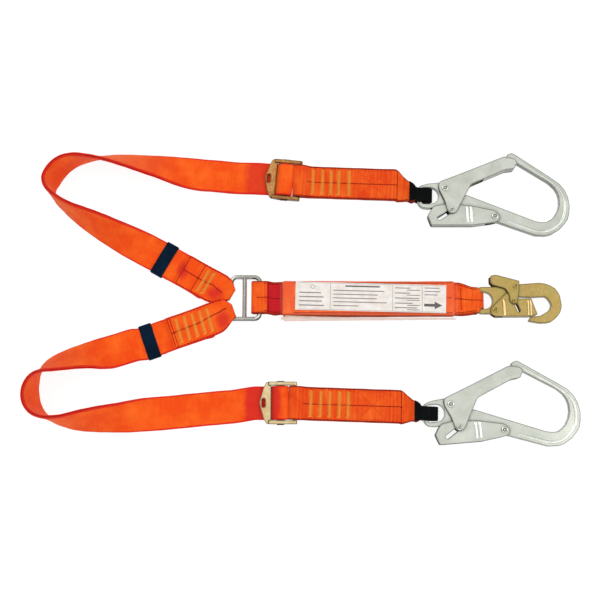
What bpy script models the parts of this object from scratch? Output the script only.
"""Twin-leg shock absorbing lanyard, laid out flat on a floor at z = 0.

All dimensions are in millimetres and are turned into metres by MM.
X runs from the leg loops to the hooks, Y across, Z up.
"""
import bpy
import bmesh
import math
from mathutils import Matrix, Vector

MM = 0.001
ORIGIN = (-3.494217, -3.473718)   # brings the middle of the outline over the origin
CLEAR = 0.35              # gap left between touching pieces

# webbing
WEB_W = 45.0
WEB_T = 2.2
PLY = 2.8                 # pitch of two plies that lie on each other

# scaffold hooks: half thicknesses of the layers, outwards from the middle
BODY_H = 4.5
LEVER_IN, LEVER_OUT = 4.9, 6.5
GATE_IN, GATE_OUT = 6.9, 8.5
HEAD = 9.9                # rivet heads, which the hook lies on
GATE_OPEN = 30.0          # degrees
LEVER_SQUEEZE = 8.5
P2 = (8.5, -31.2)         # gate pin, from the gate pivot
P3 = (67.9, -39.5)        # lever pivot, from the gate pivot
EYE = (-34.75, -10.0)     # middle of the eye's bar

# where the hooks lie: gate pivot and turn
HOOKS = {"upper": (199.8, 153.7, 0.0), "lower": (200.6, -144.0, 4.8)}

# snap hook
SNAP_Z = 9.3
SNAP_BODY = 4.0
SNAP_GATE = (4.4, 5.8)
SNAP_LOCK = (6.2, 7.6)
SNAP_HEAD = 8.9
SNAP_OPEN = 23.0
SNAP_PRESS = 12.0
SNAP_GATE_PIVOT = (264.6, -16.1)
SNAP_LOCK_PIVOT = (292.5, 15.7)
SNAP_LOCK_PIN = (289.7, -4.6)
SNAP_EYE = (234.9, -3.0)

# three-bar link
WIRE = 3.0
LINK_Z = 5.8
LINK_V = (-107.0, 1.1)     # corner between the two leg bars
LEG_DIR = {"upper": -29.6, "lower": 19.5}
LINK_RIGHT = -55.0
LINK_MID = -75.6

# buckles: slider bar centre and turn
BUCKLES = {"upper": (-20.5, 168.0, -5.0), "lower": (-26.0, -141.5, 0.0)}
STRAP_DIR = -2.0
BAR_X = 18.8               # buckle's fixed crossbar, from the slider bar
NECK_W = 17.5              # strap folded narrow to pass a hook's eye

for o in list(bpy.data.objects):
    bpy.data.objects.remove(o, do_unlink=True)


def material(name, rgb, rough, metal=0.0, alpha=1.0):
    m = bpy.data.materials.new(name)
    m.use_nodes = True
    b = m.node_tree.nodes["Principled BSDF"]
    b.inputs["Base Color"].default_value = (*rgb, 1.0)
    b.inputs["Roughness"].default_value = rough
    b.inputs["Metallic"].default_value = metal
    b.inputs["Alpha"].default_value = alpha
    return m


ORANGE = material("orange_webbing", (0.87, 0.12, 0.02), 0.75)
PACK = material("tear_webbing", (0.85, 0.16, 0.03), 0.8)
BLACK = material("black_sleeve", (0.006, 0.008, 0.01), 0.7)
NAVY = material("navy_elastic", (0.005, 0.02, 0.05), 0.8)
ZINC = material("silver_zinc", (0.72, 0.73, 0.70), 0.35, 1.0)
GOLD = material("yellow_zinc", (0.62, 0.44, 0.16), 0.38, 1.0)
STEEL = material("bright_steel", (0.62, 0.60, 0.57), 0.25, 1.0)
SPRING = material("spring_steel", (0.5, 0.5, 0.5), 0.35, 1.0)
CLEARFILM = material("clear_sleeve", (0.9, 0.86, 0.8), 0.15, 0.0, 0.25)
WHITE = material("label_white", (0.86, 0.82, 0.78), 0.5)


def new_object(name, bm, mat, origin=(0, 0, 0), smooth=True, frame=None):
    """bm is in millimetres in the layout frame (or in frame); origin is in millimetres."""
    if frame is not None:
        bm.transform(frame)
    shift = Vector((ORIGIN[0], ORIGIN[1], 0))
    o = Vector(origin)
    bm.transform(Matrix.Translation(-o))
    bm.transform(Matrix.Scale(MM, 4))
    bmesh.ops.recalc_face_normals(bm, faces=bm.faces)
    if bm.calc_volume(signed=True) < 0:
        bmesh.ops.reverse_faces(bm, faces=bm.faces)
    mesh = bpy.data.meshes.new(name)
    bm.to_mesh(mesh)
    bm.free()
    mesh.materials.append(mat)
    if smooth:
        mesh.shade_smooth()
        mesh.set_sharp_from_angle(angle=math.radians(34))
    ob = bpy.data.objects.new(name, mesh)
    ob.location = (o + shift) * MM
    bpy.context.scene.collection.objects.link(ob)
    return ob


def arc(cx, cy, r, a0, a1, n):
    return [(cx + r * math.cos(math.radians(a0 + (a1 - a0) * i / n)),
             cy + r * math.sin(math.radians(a0 + (a1 - a0) * i / n))) for i in range(n + 1)]


def fillet(points, seg=4):
    """points are (x, y, radius); returns the outline with each corner rounded."""
    out = []
    n = len(points)
    for i in range(n):
        p = Vector(points[i][:2])
        r = points[i][2] if len(points[i]) > 2 else 0.0
        a = Vector(points[i - 1][:2]) - p
        b = Vector(points[(i + 1) % n][:2]) - p
        if r <= 0 or a.length < 1e-6 or b.length < 1e-6:
            out.append((p.x, p.y))
            continue
        half = a.angle(b) / 2
        if half > math.radians(88):
            out.append((p.x, p.y))
            continue
        d = min(r / math.tan(half), a.length * 0.48, b.length * 0.48)
        r = d * math.tan(half)
        t0, t1 = p + a.normalized() * d, p + b.normalized() * d
        c = p + (a.normalized() + b.normalized()).normalized() * (r / math.sin(half))
        s, e = t0 - c, t1 - c
        turn = s.angle_signed(e)
        k = max(1, int(round(seg * abs(turn) / (math.pi / 2))))
        for j in range(k + 1):
            v = s.copy()
            v.rotate(Matrix.Rotation(-turn * j / k, 2))
            out.append((c.x + v.x, c.y + v.y))
    return out


def spline(points, per=4, closed=False):
    """Centripetal-free Catmull-Rom curve through points of any dimension."""
    pts = [Vector(p) for p in points]
    n = len(pts)
    out = []
    last = n if closed else n - 1
    for i in range(last):
        p1, p2 = pts[i], pts[(i + 1) % n]
        p0 = pts[i - 1] if (i > 0 or closed) else p1 * 2 - p2
        p3 = pts[(i + 2) % n] if (i + 2 < n or closed) else p2 * 2 - p1
        for j in range(per):
            t = j / per
            out.append(0.5 * ((2 * p1) + (p2 - p0) * t + (2 * p0 - 5 * p1 + 4 * p2 - p3) * t * t
                              + (3 * p1 - p0 - 3 * p2 + p3) * t ** 3))
    if not closed:
        out.append(pts[-1])
    return out


def plate(outline, z0, z1, holes=(), bevel=0.0, bm=None):
    """A flat plate between z0 and z1 with holes, its long edges chamfered by bevel."""
    bm = bm or bmesh.new()
    loops = []
    edges = []
    for ring in [outline, *holes]:
        vs = [bm.verts.new((x, y, z0)) for x, y in ring]
        loops.append(vs)
        edges += [bm.edges.new((vs[i], vs[(i + 1) % len(vs)])) for i in range(len(vs))]
    made = bmesh.ops.triangle_fill(bm, edges=edges, use_beauty=True, use_dissolve=False)
    faces = [g for g in made["geom"] if isinstance(g, bmesh.types.BMFace)]
    ext = bmesh.ops.extrude_face_region(bm, geom=faces)
    top = [g for g in ext["geom"] if isinstance(g, bmesh.types.BMVert)]
    bmesh.ops.translate(bm, verts=top, vec=(0, 0, z1 - z0))
    bmesh.ops.recalc_face_normals(bm, faces=bm.faces)
    if bevel > 0:
        rim = [e for e in bm.edges if len(e.link_faces) == 2
               and abs(e.verts[0].co.z - e.verts[1].co.z) < 1e-6
               and abs(e.link_faces[0].normal.z) + abs(e.link_faces[1].normal.z) < 1.2
               and abs(abs(e.link_faces[0].normal.z) - abs(e.link_faces[1].normal.z)) > 0.5]
        bmesh.ops.bevel(bm, geom=rim, offset=bevel, segments=1, affect='EDGES', clamp_overlap=True)
    return bm


def circle(cx, cy, r, n=16):
    return arc(cx, cy, r, 0, 360 - 360 / n, n - 1)


def revolve(profile, n=16):
    """A closed body of revolution about Z from (radius, z) points; the first and last lie on the axis."""
    bm = bmesh.new()
    rings = []
    for r, z in profile:
        if r < 1e-6:
            rings.append([bm.verts.new((0, 0, z))])
        else:
            rings.append([bm.verts.new((r * math.cos(2 * math.pi * i / n), r * math.sin(2 * math.pi * i / n), z))
                          for i in range(n)])
    for a, b in zip(rings, rings[1:]):
        for i in range(n):
            j = (i + 1) % n
            if len(a) == 1:
                bm.faces.new((a[0], b[i], b[j]))
            elif len(b) == 1:
                bm.faces.new((a[i], a[j], b[0]))
            else:
                bm.faces.new((a[i], a[j], b[j], b[i]))
    return bm


def rivet(name, x, y, z, head_in, head_out, shank=2.5, head=4.2, mat=STEEL, frame=None):
    prof = [(0, -head_out), (head * 0.75, -head_out), (head, -head_out + 0.5), (head, -head_in), (shank, -head_in),
            (shank, head_in), (head, head_in), (head, head_out - 0.5), (head * 0.75, head_out), (0, head_out)]
    bm = revolve(prof, 14)
    bm.transform(Matrix.Translation((x, y, z)))
    o = Vector((x, y, z))
    if frame is not None:
        bm.transform(frame)
        o = frame @ o
    return new_object(name, bm, mat, o)


def sweep_rect(stations, closed=False):
    """Webbing: each station is (centre, half width vector, half thickness vector)."""
    bm = bmesh.new()
    rings = []
    for c, w, t in stations:
        rings.append([bm.verts.new(c - w - t), bm.verts.new(c + w - t), bm.verts.new(c + w + t), bm.verts.new(c - w + t)])
    n = len(rings)
    for i in range(n if closed else n - 1):
        a, b = rings[i], rings[(i + 1) % n]
        for k in range(4):
            quad = (a[k], a[(k + 1) % 4], b[(k + 1) % 4], b[k])
            mid = sum((v.co for v in quad), Vector()) / 4
            nrm = (quad[2].co - quad[0].co).cross(quad[3].co - quad[1].co).normalized()
            if abs((quad[0].co - mid).dot(nrm)) < 0.02:
                bm.faces.new(quad)
                continue
            # a twisted face is split at its middle, so that plies that lie together stay apart
            m = bm.verts.new(mid)
            for j in range(4):
                bm.faces.new((quad[j], quad[(j + 1) % 4], m))
    if not closed:
        bm.faces.new(rings[0])
        bm.faces.new(list(reversed(rings[-1])))
    return bm


def strip(path, across, widths, thick, closed=False, shift=None):
    """A strip whose centre line lies in a plane square to across."""
    st = []
    n = len(path)
    for i, p in enumerate(path):
        a = path[i - 1] if (i > 0 or closed) else p
        b = path[(i + 1) % n] if (i < n - 1 or closed) else p
        tan = (b - a).normalized()
        nrm = tan.cross(across).normalized()
        s = shift[i] if shift else 0.0
        st.append((p + across * s, across * (widths[i] / 2), nrm * (thick / 2)))
    return sweep_rect(st, closed)


def tube(points, r, n=10, closed=False):
    """Round wire through points."""
    bm = bmesh.new()
    rings = []
    m = len(points)
    up = None
    for i, p in enumerate(points):
        a = points[i - 1] if (i > 0 or closed) else p
        b = points[(i + 1) % m] if (i < m - 1 or closed) else p
        t = (b - a).normalized()
        if up is None:
            up = Vector((0, 0, 1)) if abs(t.z) < 0.9 else Vector((1, 0, 0))
        side = t.cross(up).normalized()
        up = side.cross(t).normalized()
        rings.append([bm.verts.new(p + side * (r * math.cos(2 * math.pi * k / n)) + up * (r * math.sin(2 * math.pi * k / n)))
                      for k in range(n)])
    for i in range(m if closed else m - 1):
        a, b = rings[i], rings[(i + 1) % m]
        for k in range(n):
            bm.faces.new((a[k], a[(k + 1) % n], b[(k + 1) % n], b[k]))
    if not closed:
        bm.faces.new(rings[0])
        bm.faces.new(list(reversed(rings[-1])))
    return bm


def boolean(ob, cutter, op):
    mod = ob.modifiers.new(op.lower(), 'BOOLEAN')
    mod.operation = op
    mod.object = cutter
    mod.solver = 'EXACT'
    cutter.hide_render = True
    cutter.display_type = 'WIRE'
    return mod


def turned(point, pivot, degrees):
    a = math.radians(degrees)
    dx, dy = point[0] - pivot[0], point[1] - pivot[1]
    return (pivot[0] + dx * math.cos(a) - dy * math.sin(a), pivot[1] + dx * math.sin(a) + dy * math.cos(a))


def slot_outline(path, r, n=8):
    """Outline of a slot of half width r along path."""
    left, right = [], []
    for i, p in enumerate(path):
        a = Vector(path[max(i - 1, 0)])
        b = Vector(path[min(i + 1, len(path) - 1)])
        t = (b - a).normalized()
        nrm = Vector((-t.y, t.x))
        left.append(Vector(p) + nrm * r)
        right.append(Vector(p) - nrm * r)
    t0 = (Vector(path[1]) - Vector(path[0])).normalized()
    t1 = (Vector(path[-1]) - Vector(path[-2])).normalized()
    a1 = math.degrees(math.atan2(t1.y, t1.x))
    a0 = math.degrees(math.atan2(t0.y, t0.x))
    out = [(v.x, v.y) for v in right]
    out += arc(path[-1][0], path[-1][1], r, a1 - 90, a1 + 90, n)[1:-1]
    out += [(v.x, v.y) for v in reversed(left)]
    out += arc(path[0][0], path[0][1], r, a0 + 90, a0 + 270, n)[1:-1]
    return out


def eye_hole(cx, cy):
    """Hole of a hook's eye: square corners at the webbing bar, round towards the body."""
    x0, x1, y0, y1 = cx + 3.25, cx + 26.0, cy - 11.5, cy + 11.5
    return fillet([(x0, y0, 2.0), (x1, y0, 11.0), (x1, y1, 11.0), (x0, y1, 2.0)], seg=5)


# ---------------------------------------------------------------- scaffold hook
def scaffold_hook(side):
    px, py, turn = HOOKS[side]
    frame = Matrix.Translation((px, py, HEAD + 0.1)) @ Matrix.Rotation(math.radians(turn), 4, 'Z')
    at = lambda x, y: frame @ Vector((x, y, 0))
    n = side + "_scaffold_hook_"

    # forged body: eye, spine, lower arm, bow and nose
    outer = fillet([
        (-38.0, 3.0, 9.0), (-24.0, 7.0, 10.0), (-10.0, 8.5, 6.0), (4.0, 9.0, 6.0), (12.0, -2.0, 8.0),
        (14.5, -14.0, 6.0), (30.0, -9.0, 4.0), (87.9, -32.0, 10.0), (122.6, -46.0, 24.0), (139.0, -49.5, 18.0),
        (153.5, -36.0, 18.0), (158.5, -18.0, 18.0), (154.5, -2.0, 14.0), (144.0, 8.5, 14.0), (101.0, 36.0, 2.5),
        (93.0, 32.0, 2.0), (87.5, 39.0, 2.0), (86.5, 48.5, 4.0), (95.0, 51.5, 5.0), (146.0, 16.5, 20.0), (163.0, 4.0, 22.0),
        (172.5, -18.0, 24.0), (169.5, -44.0, 24.0), (152.0, -63.0, 24.0), (130.0, -68.5, 24.0), (86.5, -53.0, 10.0),
        (71.5, -47.6, 6.0), (62.0, -46.5, 6.0), (40.0, -42.0, 6.0), (17.0, -35.5, 2.5), (15.5, -27.2, 2.5),
        (2.0, -27.6, 3.0), (-9.0, -25.0, 4.0), (-20.0, -28.5, 12.0), (-33.0, -27.0, 10.0), (-38.0, -20.0, 8.0)])
    holes = [eye_hole(*EYE), circle(0, 0, 2.5 + CLEAR, 14), circle(*P3, 2.5 + CLEAR, 14)]
    bm = plate(outer, -BODY_H, BODY_H, holes, bevel=1.3)
    new_object(n + "body", bm, ZINC, at(*EYE), frame=frame)

    # gate: two side plates and the closing web along the inner edge
    gate = fillet([
        (-8.5, 8.5, 5.0), (30.0, 23.5, 0), (82.5, 44.8, 6.0), (98.0, 41.5, 4.0), (101.0, 36.5, 2.0), (96.5, 27.5, 3.0),
        (84.5, 26.0, 5.0), (36.5, 5.4, 8.0), (28.0, -10.0, 6.0), (14.8, -34.5, 5.0), (8.0, -37.5, 5.0),
        (2.8, -32.5, 5.0), (-1.0, -17.5, 14.0), (-8.8, -1.0, 8.0)])
    gholes = [circle(0, 0, 2.5 + CLEAR, 14), circle(*P2, 2.0 + 0.25, 12)]
    bm = plate(gate, GATE_IN, GATE_OUT, gholes)
    top = new_object(n + "gate", bm, ZINC, at(0, 0), frame=frame)
    low = new_object(n + "gate_cut_low", plate(gate, -GATE_OUT, -GATE_IN, gholes), ZINC, at(0, 0), frame=frame)
    web = fillet([(54.0, 12.95, 0), (84.5, 26.2, 0), (96.4, 27.9, 0), (97.2, 29.8, 0), (84.0, 28.2, 0), (53.3, 14.8, 0)])
    wobj = new_object(n + "gate_web", plate(web, -GATE_OUT + 0.4, GATE_OUT - 0.4), ZINC, at(0, 0), frame=frame)
    boolean(top, wobj, 'UNION')
    boolean(top, low, 'UNION')

    # lock lever: a channel open towards the body, slotted for the gate pin
    steps = 8
    path = []
    for i in range(steps + 1):
        t = i / steps
        pin = turned(P2, (0, 0), -GATE_OPEN * t)
        path.append(turned(pin, P3, LEVER_SQUEEZE * t))
    slot = slot_outline(path, 2.0 + 0.6)
    lever = fillet([
        (-24.5, -38.5, 3.0), (-19.5, -52.4, 3.0), (36.5, -52.4, 6.0), (62.8, -49.0, 4.0), (74.0, -46.5, 6.0),
        (76.0, -38.0, 7.0), (68.0, -31.5, 8.0), (34.0, -24.5, 5.0), (4.0, -22.0, 6.0), (-16.0, -25.0, 8.0)])
    lholes = [circle(*P3, 2.5 + CLEAR, 14), slot]
    top = new_object(n + "lock_lever", plate(lever, LEVER_IN, LEVER_OUT, lholes), ZINC, at(*P3), frame=frame)
    low = new_object(n + "lock_lever_cut_low", plate(lever, -LEVER_OUT, -LEVER_IN, lholes), ZINC, at(*P3), frame=frame)
    web = fillet([(-18.4, -52.1, 0), (36.5, -52.1, 0), (55.0, -49.9, 0), (55.0, -48.5, 0), (36.5, -50.6, 0), (-18.8, -50.6, 0)])
    wobj = new_object(n + "lock_lever_web", plate(web, -LEVER_OUT + 0.3, LEVER_OUT - 0.3), ZINC, at(*P3), frame=frame)
    boolean(top, wobj, 'UNION')
    boolean(top, low, 'UNION')

    rivet(n + "gate_rivet", 0, 0, 0, GATE_OUT + 0.3, HEAD, 2.5, 4.4, STEEL, frame)
    rivet(n + "lever_rivet", *P3, 0, LEVER_OUT + 0.3, LEVER_OUT + 1.5, 2.5, 4.4, STEEL, frame)
    rivet(n + "gate_pin", *P2, 0, GATE_OUT + 0.3, HEAD, 2.0, 3.8, STEEL, frame)

    # torsion spring round the gate rivet, between body and gate plate
    coil = []
    turns, k = 1.5, 20
    for i in range(k + 1):
        a = 2 * math.pi * turns * i / k
        coil.append(Vector((4.0 * math.cos(a), 4.0 * math.sin(a), 5.35 + 1.05 * i / k)))
    bm = tube(coil, 0.38, 5)
    new_object(n + "gate_spring", bm, SPRING, at(0, 0), frame=frame)


# ---------------------------------------------------------------- snap hook
def snap_hook():
    frame = Matrix.Translation((0, 0, SNAP_Z))
    n = "snap_hook_"
    ex, ey = SNAP_EYE
    outer = fillet([
        (231.5, 8.0, 9.0), (243.0, 15.6, 10.0), (262.0, 15.8, 10.0), (298.6, 19.5, 12.0), (329.0, 21.8, 20.0), (348.0, 15.5, 20.0),
        (356.0, -3.0, 24.0), (353.5, -20.0, 20.0), (340.0, -33.5, 16.0), (325.0, -34.2, 8.0), (308.5, -31.2, 1.5),
        (312.5, -25.6, 1.0), (325.5, -24.0, 4.0), (338.0, -16.5, 8.0), (341.5, -8.0, 8.0), (334.5, 2.4, 7.0), (314.0, 1.2, 3.0),
        (296.0, 2.0, 4.0), (284.0, 2.0, 6.0), (274.0, -8.0, 4.0), (271.0, -20.5, 4.0), (262.0, -21.4, 4.0), (243.0, -21.2, 10.0), (231.5, -14.0, 9.0)])
    holes = [eye_hole(ex + 0.4, ey), circle(*SNAP_GATE_PIVOT, 2.0 + CLEAR, 14), circle(*SNAP_LOCK_PIVOT, 2.0 + CLEAR, 14)]
    new_object(n + "body", plate(outer, -SNAP_BODY, SNAP_BODY, holes, bevel=1.2), GOLD, frame @ Vector((ex, ey, 0)), frame=frame)

    gate = fillet([
        (258.0, -15.0, 3.0), (262.0, -10.5, 3.0), (280.0, 7.5, 3.0), (288.0, 5.0, 3.0), (297.0, -0.6, 3.0), (313.8, -0.6, 1.5),
        (321.6, -22.6, 1.5), (312.0, -25.0, 2.0), (264.5, -25.4, 3.0), (258.6, -21.5, 3.0)])
    steps = 8
    path = []
    for i in range(steps + 1):
        t = i / steps
        pin = turned(SNAP_LOCK_PIN, SNAP_LOCK_PIVOT, SNAP_PRESS * t)
        path.append(turned(pin, SNAP_GATE_PIVOT, -SNAP_OPEN * t))
    gholes = [circle(*SNAP_GATE_PIVOT, 2.0 + CLEAR, 14), slot_outline(path, 1.5 + 0.5)]
    top = new_object(n + "gate", plate(gate, *SNAP_GATE, gholes), GOLD, frame @ Vector((*SNAP_GATE_PIVOT, 0)), frame=frame)
    low = new_object(n + "gate_cut_low", plate(gate, -SNAP_GATE[1], -SNAP_GATE[0], gholes), GOLD, frame @ Vector((*SNAP_GATE_PIVOT, 0)), frame=frame)
    web = [(275.0, -25.1), (311.5, -24.8), (318.5, -23.2), (317.9, -21.6), (311.5, -23.2), (275.0, -23.5)]
    wobj = new_object(n + "gate_web", plate(web, -SNAP_GATE[1] + 0.3, SNAP_GATE[1] - 0.3), GOLD, frame @ Vector((*SNAP_GATE_PIVOT, 0)), frame=frame)
    boolean(top, wobj, 'UNION')
    boolean(top, low, 'UNION')

    lock = fillet([
        (258.5, 30.5, 2.0), (266.0, 32.0, 3.0), (298.0, 23.5, 2.0), (297.2, 10.0, 3.0), (294.5, -7.0, 3.0), (289.0, -9.0, 3.0),
        (284.5, -5.0, 3.0), (283.5, 5.0, 3.0), (278.5, 13.0, 4.0), (262.0, 17.5, 4.0), (258.5, 22.0, 2.0)])
    lholes = [circle(*SNAP_LOCK_PIVOT, 2.0 + CLEAR, 14), circle(*SNAP_LOCK_PIN, 1.5 + 0.25, 12)]
    top = new_object(n + "lock_lever", plate(lock, *SNAP_LOCK, lholes), GOLD, frame @ Vector((*SNAP_LOCK_PIVOT, 0)), frame=frame)
    low = new_object(n + "lock_lever_cut_low", plate(lock, -SNAP_LOCK[1], -SNAP_LOCK[0], lholes), GOLD, frame @ Vector((*SNAP_LOCK_PIVOT, 0)), frame=frame)
    web = [(260.5, 28.7), (266.0, 30.0), (296.5, 21.9), (297.3, 23.4), (266.2, 31.6), (260.0, 30.2)]
    wobj = new_object(n + "lock_lever_web", plate(web, -SNAP_LOCK[1] + 0.3, SNAP_LOCK[1] - 0.3), GOLD, frame @ Vector((*SNAP_LOCK_PIVOT, 0)), frame=frame)
    boolean(top, wobj, 'UNION')
    boolean(top, low, 'UNION')

    rivet(n + "gate_rivet", *SNAP_GATE_PIVOT, 0, SNAP_GATE[1] + 0.3, SNAP_GATE[1] + 1.4, 2.0, 3.6, GOLD, frame)
    rivet(n + "lock_rivet", *SNAP_LOCK_PIVOT, 0, SNAP_LOCK[1] + 0.3, SNAP_HEAD, 2.0, 3.4, GOLD, frame)
    rivet(n + "lock_pin", *SNAP_LOCK_PIN, 0, SNAP_LOCK[1] + 0.3, SNAP_HEAD, 1.5, 2.6, GOLD, frame)


# ---------------------------------------------------------------- three-bar link
def link():
    vx, vy = LINK_V
    a1 = math.radians(LEG_DIR["upper"] + 90)
    a2 = math.radians(LEG_DIR["lower"] - 90)
    up = (vx + 34 * math.cos(a1), vy + 34 * math.sin(a1), 7.0)
    dn = (vx + 30 * math.cos(a2), vy + 30 * math.sin(a2), 5.0)
    ring = fillet([(vx, vy, 5.0), dn, (LINK_RIGHT, dn[1], 7.0), (LINK_RIGHT, up[1], 7.0), up], seg=6)
    pts = [Vector((x, y, LINK_Z)) for x, y in ring]
    ob = new_object("link", tube(pts, WIRE, 12, closed=True), STEEL, (LINK_RIGHT, 2.7, LINK_Z))
    bar = tube([Vector((LINK_MID, dn[1] + 0.2, LINK_Z)), Vector((LINK_MID, up[1] - 0.2, LINK_Z))], WIRE - 0.12, 12)
    cut = new_object("link_centre_bar", bar, STEEL, (LINK_RIGHT, 2.7, LINK_Z))
    boolean(ob, cut, 'UNION')


# ---------------------------------------------------------------- absorber
def rounded_box(x0, x1, y0, y1, z0, z1, r, seg=3):
    ring = fillet([(y0, z0, r), (y1, z0, r), (y1, z1, r), (y0, z1, r)], seg)
    return ring


def along_x(ring, x0, x1, inner=None):
    """Prism along X of a ring given in (y, z); inner makes it a tube."""
    bm = bmesh.new()
    if inner is None:
        rings = [[bm.verts.new((x, y, z)) for y, z in ring] for x in (x0, x1)]
        n = len(ring)
        for i in range(n):
            j = (i + 1) % n
            bm.faces.new((rings[0][i], rings[0][j], rings[1][j], rings[1][i]))
        bm.faces.new(rings[0])
        bm.faces.new(rings[1])
    else:
        n = len(ring)
        o = [[bm.verts.new((x, y, z)) for y, z in ring] for x in (x0, x1)]
        q = [[bm.verts.new((x, y, z)) for y, z in inner] for x in (x0, x1)]
        for i in range(n):
            j = (i + 1) % n
            bm.faces.new((o[0][i], o[0][j], o[1][j], o[1][i]))
            bm.faces.new((q[0][i], q[0][j], q[1][j], q[1][i]))
            bm.faces.new((o[0][i], o[0][j], q[0][j], q[0][i]))
            bm.faces.new((o[1][i], o[1][j], q[1][j], q[1][i]))
    return bm


ABS_X0, ABS_X1 = -27.0, 213.5
ABS_Y, ABS_HALF = -0.9, 26.0
ABS_TOP = 23.6


def absorber():
    o = (LINK_RIGHT, ABS_Y, LINK_Z)
    y0, y1 = ABS_Y - ABS_HALF, ABS_Y + ABS_HALF
    t = 0.7
    outer = rounded_box(0, 0, y0, y1, 0.3, ABS_TOP, 5.0)
    inner = rounded_box(0, 0, y0 + t, y1 - t, 0.3 + t, ABS_TOP - t, 4.3)
    new_object("absorber_clear_sleeve", along_x(outer, ABS_X0, ABS_X1, inner), CLEARFILM, o)
    pack = rounded_box(0, 0, y0 + 2.0, y1 - 2.0, 1.4, 21.6, 3.6)
    new_object("absorber_tear_webbing", along_x(pack, ABS_X0 + 9.0, ABS_X1 - 9.0), PACK, o)
    bm = plate(fillet([(-6.5, -17.5, 1.5), (197.0, -22.2, 1.5), (198.2, 16.2, 1.5), (-5.3, 21.4, 1.5)], 2), 22.0, 22.4)
    new_object("absorber_label", bm, WHITE, o)

    # front loop round the snap hook's eye
    ex, ey = SNAP_EYE
    y = Vector((0, 1, 0))
    x_in = ABS_X1 - 8.5
    R = 6.8
    side = [(x_in, 13.6), (x_in + 6, 13.9), (x_in + 16, 15.4), (x_in + 24, SNAP_Z + R), (237.0, SNAP_Z + R)]
    turn = [(242.0 + R * math.cos(math.radians(a)), SNAP_Z + R * math.sin(math.radians(a))) for a in range(90, -91, -18)]
    back = [(237.0, SNAP_Z - R), (x_in + 24, SNAP_Z - R + 0.1), (x_in + 16, 5.2), (x_in + 6, 8.4), (x_in, 8.8)]
    path = [Vector((p[0], 0, p[1])) for p in side + turn + back]
    wide = []
    mid = []
    for p in path:
        k = min(max((p.x - (ABS_X1 + 1)) / (ex - 4.5 - ABS_X1 - 1), 0.0), 1.0)
        wide.append(WEB_W + (20.0 - WEB_W) * k)
        mid.append(ABS_Y + (ey - ABS_Y) * k)
    new_object("absorber_front_loop", strip(path, y, wide, WEB_T, shift=mid), ORANGE, (ex, ey, SNAP_Z))

    # rear loop round the link's end bar
    cx = -61.0
    r = WIRE + CLEAR + WEB_T / 2
    x_in = ABS_X0 + 8.5
    side = [(x_in, 14.0), (x_in - 8, 13.8), (x_in - 17, 12.2), (x_in - 26, LINK_Z + r + 0.3), (LINK_RIGHT, LINK_Z + r)]
    turn = [(cx + r * math.cos(math.radians(a)), LINK_Z + r * math.sin(math.radians(a))) for a in range(90, 271, 18)]
    back = [(LINK_RIGHT, LINK_Z - r), (x_in - 26, 1.4), (x_in - 17, 3.4), (x_in - 8, 8.4), (x_in, 9.0)]
    path = [Vector((p[0], 0, p[1])) for p in side + turn + back]
    new_object("absorber_rear_loop", strip(path, y, [WEB_W - 0.5] * len(path), WEB_T, shift=[2.2 if p.x < -40 else ABS_Y + 1 for p in path]),
               ORANGE, (LINK_RIGHT, 2.2, LINK_Z))


# ---------------------------------------------------------------- legs
# edge on the floor, then the point below which the other edge stands or lies; from keeper to buckle
LOOPS = {
    "upper": [((-206.5, 40.3), (-184.5, 79.5)), ((-244.8, 62.5), (-229.5, 97.0)), ((-284, 88.5), (-275, 113)),
              ((-308, 108), (-311, 125)), ((-327, 125.5), (-332.5, 136)), ((-338, 137), (-344, 146.5)),
              ((-342, 148), (-349, 158)), ((-339, 160), (-347.5, 171.5)), ((-327, 179), (-334, 188)),
              ((-309, 193), (-312, 195)), ((-283, 202), (-283.5, 192)), ((-248.8, 205.5), (-250, 183.5)),
              ((-189.8, 203), (-196, 166.5)), ((-136, 198.8), (-141, 156.0)), ((-85, 194.2), (-88, 149.3))],
    "lower": [((-217, -37), (-206, -82.5)), ((-252, -47.6), (-243, -90)), ((-285, -59), (-283, -95.6)),
              ((-315, -70), (-316, -99)), ((-336, -82), (-341, -103.5)), ((-348.5, -97), (-356, -111)),
              ((-353.5, -113), (-363.5, -123)), ((-354, -129), (-365.5, -135)), ((-350.5, -144), (-361.5, -148.5)),
              ((-343, -156.5), (-350, -159)), ((-331, -166), (-334, -163.5)), ((-313, -173.5), (-313, -162)),
              ((-290, -179), (-285, -154.5)), ((-240, -180.5), (-228, -143)), ((-190, -177.5), (-183, -133.5)),
              ((-130, -172.0), (-127, -127.5)), ((-90, -168.5), (-88, -123.6))],
}
LIFT = 4.2                 # height of the main ply where the tail lies under it


def buckle_frame(side):
    x, y, turn = BUCKLES[side]
    return Matrix.Translation((x, y, 0)) @ Matrix.Rotation(math.radians(turn), 4, 'Z')


def keeper_distance(side):
    return 95.4 if side == "upper" else 111.0


def link_frame(side):
    """Origin on the bar that carries the leg, X towards the link, Y along the bar."""
    vx, vy = LINK_V
    d = LEG_DIR[side]
    s = 8.1 if side == "upper" else 23.5
    a = math.radians(d + 90 if side == "upper" else d - 90)
    return Matrix.Translation((vx + s * math.cos(a), vy + s * math.sin(a), 0)) @ Matrix.Rotation(math.radians(d), 4, 'Z')


def gather(side, x):
    """Half width and side shift of the webbing at distance x before the bar."""
    k = min(max((x + 26.0) / 20.0, 0.0), 1.0)
    k = k * k * (3 - 2 * k)
    if side == "upper":
        lo, hi = -22.5 + 16.5 * k, 22.5 - 0.8 * k
    else:
        lo, hi = -22.5 + 20.0 * k, 22.5 - 2.2 * k
    return (hi - lo) / 2, (hi + lo) / 2


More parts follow.
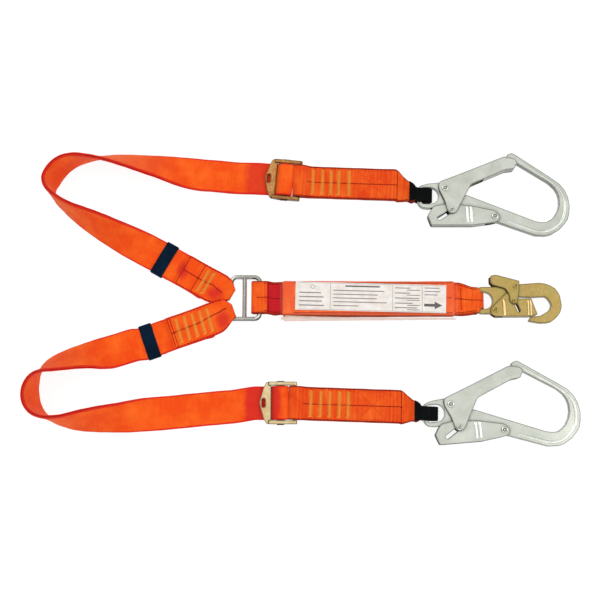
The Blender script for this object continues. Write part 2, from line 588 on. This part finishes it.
def leg(side):
    L = link_frame(side)
    B = buckle_frame(side)
    T = WEB_T / 2
    r = WIRE + CLEAR + T
    end_x = -67.7 if side == "upper" else -82.0
    stations = []

    def flat(frame, pts, gathered=False):
        """Stations from (x, z) points in a frame whose Y runs across the webbing."""
        n = len(pts)
        across = (frame.to_3x3() @ Vector((0, 1, 0))).normalized()
        ring = []
        for i, (x, z) in enumerate(pts):
            a = pts[max(i - 1, 0)]
            b = pts[min(i + 1, n - 1)]
            tan = Vector((b[0] - a[0], 0, b[1] - a[1])).normalized()
            tan = (frame.to_3x3() @ tan).normalized()
            half, shift = gather(side, x) if gathered else (WEB_W / 2, 0.0)
            nrm = tan.cross(across).normalized()
            ring.append((frame @ Vector((x, shift, z)), across * half, nrm * T))
        return ring

    # turned-back end over the main ply, round the bar, then under it
    top = [(end_x, 7.6), (end_x + 14, 7.5), (end_x + 28, 7.7), (-24, 9.0), (-14, LINK_Z + r + 0.1), (-6, LINK_Z + r), (0.5, LINK_Z + r)]
    bend = [(0.5 + r * math.cos(math.radians(a)), LINK_Z + r * math.sin(math.radians(a))) for a in range(72, -91, -18)]
    kd = keeper_distance(side)
    low = [(-6, LINK_Z - r), (-16, LINK_Z - r + 0.1), (-26, 2.3), (-40, 3.8), (-58, 4.6), (-74, 4.6), (-kd + 10, 4.6), (-kd, 4.6), (-kd - 10, 4.6)]
    link_part = flat(L, top + bend + low, gathered=True)
    # the section frame runs on with the main ply's own normal up
    stations += link_part

    # standing loop: main ply
    e0 = [Vector((*p, 0)) for p, q in LOOPS[side]]
    dirs = []
    for p, q in LOOPS[side]:
        v = Vector((q[0] - p[0], q[1] - p[1], 0))
        d = min(v.length, WEB_W)
        z = math.sqrt(max(WEB_W ** 2 - d ** 2, 0.0))
        if d > WEB_W - 3.2:
            z = 0.0
        v = v.normalized() * math.sqrt(WEB_W ** 2 - z * z)
        dirs.append(Vector((v.x, v.y, z)))
    e0s = spline(e0, 3)
    ds = [Vector((v.x, v.y, max(v.z, 0.0))).normalized() * WEB_W for v in spline(dirs, 3)]
    main = []
    for i, (p, d) in enumerate(zip(e0s, ds)):
        el = math.asin(max(min(d.z / WEB_W, 1.0), -1.0))
        base = 0.45 + (LIFT - 0.05) * math.cos(el)
        c = p + d / 2
        c.z += base
        main.append((c, d / 2))
    start = link_part[-1][0]
    nexts = []
    for i, (c, h) in enumerate(main):
        a = main[i - 1][0] if i else start
        b = main[i + 1][0] if i < len(main) - 1 else (B @ Vector((-38.0, 0, 4.4)))
        tan = (b - a).normalized()
        nrm = tan.cross(h).normalized()
        h2 = (h - tan * h.dot(tan)).normalized() * (WEB_W / 2)
        floor = c.z - h.z
        nexts.append((Vector((c.x, c.y, floor + h2.z)), h2, nrm))
    keep = nexts[1:] if (nexts[0][0] - start).length < 9 else nexts
    # across in the link frame runs the same way as from floor edge to standing edge, or opposite
    sgn = 1.0 if (link_part[-1][1].dot(keep[0][1]) > 0) else -1.0
    for c, h, nrm in keep:
        stations.append((c, h * sgn, nrm * T * sgn))

    # buckle: under the front plate, over the slider, back below it
    roll = [(-34, 4.5), (-24, 4.4), (-17, 4.4), (-13.2, 5.0), (-10.4, 7.2), (-7.4, 10.4), (-3.5, 12.0), (1.0, 12.2), (5.2, 12.1)]
    turn = [(5.4 + 4.35 * math.cos(math.radians(a)), 7.75 + 4.35 * math.sin(math.radians(a))) for a in range(72, -73, -18)]
    under = [(4.6, 3.4), (-0.6, 3.3), (-7.0, 2.9), (-14, 2.0), (-20, 1.65), (-28, 1.6), (-34, 1.6)]
    bpart = flat(B, roll + turn + under)
    if bpart[0][1].dot(stations[-1][1]) < 0:
        bpart = [(c, -w, t) for c, w, t in bpart]
    stations += bpart

    # tail: the same run, one ply in
    tail = []
    for c, h, nrm in reversed(keep):
        up = nrm if nrm.z > 0 or abs(nrm.z) < 0.5 else nrm
        tail.append((c - nrm * PLY * out_sign(keep, side), h, nrm * T))
    if tail[0][1].dot(stations[-1][1]) < 0:
        tail = [(c, -w, t) for c, w, t in tail]
    stations += tail
    across = link_part[-1][1].copy()
    if across.dot(tail[-1][1]) < 0:
        across = -across
    for x in (-kd - 10, -kd, -kd + 10, -kd + 17):
        stations.append((L @ Vector((x, 0, 1.8)), across, Vector((0, 0, T))))
    # one winding for every section
    fixed = [stations[0]]
    for c, w, t in stations[1:]:
        pw, pt = fixed[-1][1], fixed[-1][2]
        if w.dot(pw) < 0:
            w = -w
        if t.dot(pt) < 0:
            t = -t
        fixed.append((c, w, t))
    new_object(side + "_leg_webbing", sweep_rect(fixed), ORANGE, L @ Vector((0, 0, LINK_Z)))

    # elastic keeper round both plies
    hw = WEB_W / 2
    z0, z1 = 0.0, 7.3
    ring = fillet([(-hw - 1.9, z0, 2.2), (hw + 1.9, z0, 2.2), (hw + 1.9, z1, 2.2), (-hw - 1.9, z1, 2.2)], 3)
    inner = fillet([(-hw - 0.7, z0 + 0.45, 1.0), (hw + 0.7, z0 + 0.45, 1.0), (hw + 0.7, z1 - 1.2, 1.0), (-hw - 0.7, z1 - 1.2, 1.0)], 3)
    bm = along_x(ring, -8.75, 8.75, inner)
    F = L @ Matrix.Translation((-kd, 0, 0))
    new_object(side + "_keeper", bm, NAVY, F @ Vector((0, 0, 3)), frame=F)


def out_sign(keep, side):
    """+1 when the section normals of the run point away from the floor or out of the loop."""
    return 1.0 if keep[0][2].z > 0 else -1.0


def buckle(side):
    B = buckle_frame(side)
    n = side + "_buckle_"
    # front plate with its oval hole
    plate_out = fillet([(-12.8, -26.6, 1.5), (-12.8, 26.6, 1.5), (-19.0, 28.6, 3.0), (-23.0, 20.0, 4.0), (-28.0, 2.0, 8.0),
                        (-28.0, -2.0, 8.0), (-23.0, -20.0, 4.0), (-19.0, -28.6, 3.0)])
    oval = fillet([(-25.4, -6.2, 2.5), (-20.2, -6.2, 2.5), (-20.2, 6.2, 2.5), (-25.4, 6.2, 2.5)], 4)
    bm = plate(plate_out, 7.1, 9.9, [oval])
    ob = new_object(n + "frame", bm, GOLD, B @ Vector((BAR_X, 0, 6.9)), frame=B)
    for s, nm in ((1, "left"), (-1, "right")):
        prof = fillet([(-17.5, 7.2, 0), (-16.0, 11.0, 2.0), (19.8, 10.6, 2.5), (23.0, 7.0, 2.5), (19.8, 3.4, 2.5), (-9.0, 4.0, 2.0)])
        hole = fillet([(-8.2, 5.2, 1.0), (6.6, 5.2, 1.0), (6.6, 9.0, 1.0), (-8.2, 9.0, 1.0)], 2)
        arm = plate(prof, 23.4, 28.4, [hole], bevel=0.0)
        # profile x stays, profile y becomes height, extrusion becomes the across direction
        arm.transform(Matrix(((1, 0, 0, 0), (0, 0, s, 0), (0, 1, 0, 0), (0, 0, 0, 1))))
        cut = new_object(n + "frame_arm_" + nm, arm, GOLD, B @ Vector((BAR_X, 0, 6.9)), frame=B)
        boolean(ob, cut, 'UNION')
    bar = tube([Vector((BAR_X, -27.0, 6.9)), Vector((BAR_X, 27.0, 6.9))], 2.7, 12)
    cut = new_object(n + "frame_crossbar", bar, GOLD, B @ Vector((BAR_X, 0, 6.9)), frame=B)
    boolean(ob, cut, 'UNION')
    # slider bar
    prof = [(-4.2, 5.8), (4.2, 5.8), (5.0, 7.1), (4.2, 8.4), (-4.2, 8.4), (-5.0, 7.1)]
    bm = bmesh.new()
    rings = [[bm.verts.new((x, y, z)) for x, z in prof] for y in (-29.6, 29.6)]
    for i in range(6):
        j = (i + 1) % 6
        bm.faces.new((rings[0][i], rings[0][j], rings[1][j], rings[1][i]))
    bm.faces.new(rings[0])
    bm.faces.new(rings[1])
    new_object(n + "slider_bar", bm, GOLD, B @ Vector((0, 0, 7.1)), frame=B)


def hook_strap(side):
    """Strap sewn to itself: round the buckle's crossbar at one end, round the hook's eye at the other."""
    B = buckle_frame(side)
    c0 = B @ Vector((BAR_X, 0, 6.9))
    px, py, turn = HOOKS[side]
    H = Matrix.Translation((px, py, HEAD + 0.1)) @ Matrix.Rotation(math.radians(turn), 4, 'Z')
    e = H @ Vector((EYE[0], EYE[1], 0))
    S = Matrix.Translation((c0.x, c0.y, 0)) @ Matrix.Rotation(math.radians(STRAP_DIR), 4, 'Z')
    eye = S.inverted() @ e
    length = eye.x
    aside = eye.y + 1.0
    r = 2.7 + 1.3 + WEB_T / 2
    zc = 6.9
    eye_z = HEAD + 0.1
    R = 6.9
    tx = length + 8.3
    pts = [(0, zc + r), (6, zc + r - 0.6), (16, 6.0), (28, 4.6), (60, 4.4), (100, 4.4), (125, 4.6), (length - 22, 6.6),
           (length - 13, 12.2), (length - 5.5, eye_z + R - 0.1), (length + 2, eye_z + R)]
    pts += [(tx + R * math.cos(math.radians(a)), eye_z + R * math.sin(math.radians(a))) for a in range(90, -91, -15)]
    pts += [(length + 2, eye_z - R), (length - 6, eye_z - R), (length - 14, 2.9), (length - 24, 1.8), (125, 1.6), (100, 1.6), (60, 1.6), (28, 1.6), (14, 1.6), (3, zc - r + 0.1)]
    pts += [(r * math.cos(math.radians(a)), zc + r * math.sin(math.radians(a))) for a in range(270, 90, -18)]
    path = [Vector((x, 0, z)) for x, z in pts]
    # drop stations that fall on each other
    clean = []
    for p in path:
        if not clean or (p - clean[-1]).length > 0.7:
            clean.append(p)
    if (clean[0] - clean[-1]).length < 0.7:
        clean.pop()
    tip0, tip1 = length - 33.0, length - 20.0

    def wide(x):
        k = min(max((x - tip0) / (tip1 - tip0), 0.0), 1.0)
        return WEB_W + (NECK_W - WEB_W) * k

    def bent(x):
        k = min(max((x - tip0) / 30.0, 0.0), 1.0)
        return aside * k

    y = Vector((0, 1, 0))
    bm = strip(clean, y, [wide(p.x) for p in clean], WEB_T, closed=True, shift=[bent(p.x) for p in clean])
    new_object(side + "_hook_strap", bm, ORANGE, S @ Vector((0, 0, zc)), frame=S)

    # wear sleeve over the narrow loop
    g = WEB_T / 2 + 0.3 + 0.6
    path = []
    for i, p in enumerate(clean):
        if p.x > length - 15.5:
            tan = (clean[(i + 1) % len(clean)] - clean[i - 1]).normalized()
            path.append(p + tan.cross(y).normalized() * g)
    bm = strip(path, y, [NECK_W + 1.0] * len(path), 1.2, shift=[bent(p.x) for p in path])
    new_object(side + "_wear_sleeve", bm, BLACK, S @ Vector((length, 0, eye_z)), frame=S)


absorber()
link()
snap_hook()
for s in ("upper", "lower"):
    leg(s)
    buckle(s)
    hook_strap(s)
    scaffold_hook(s)
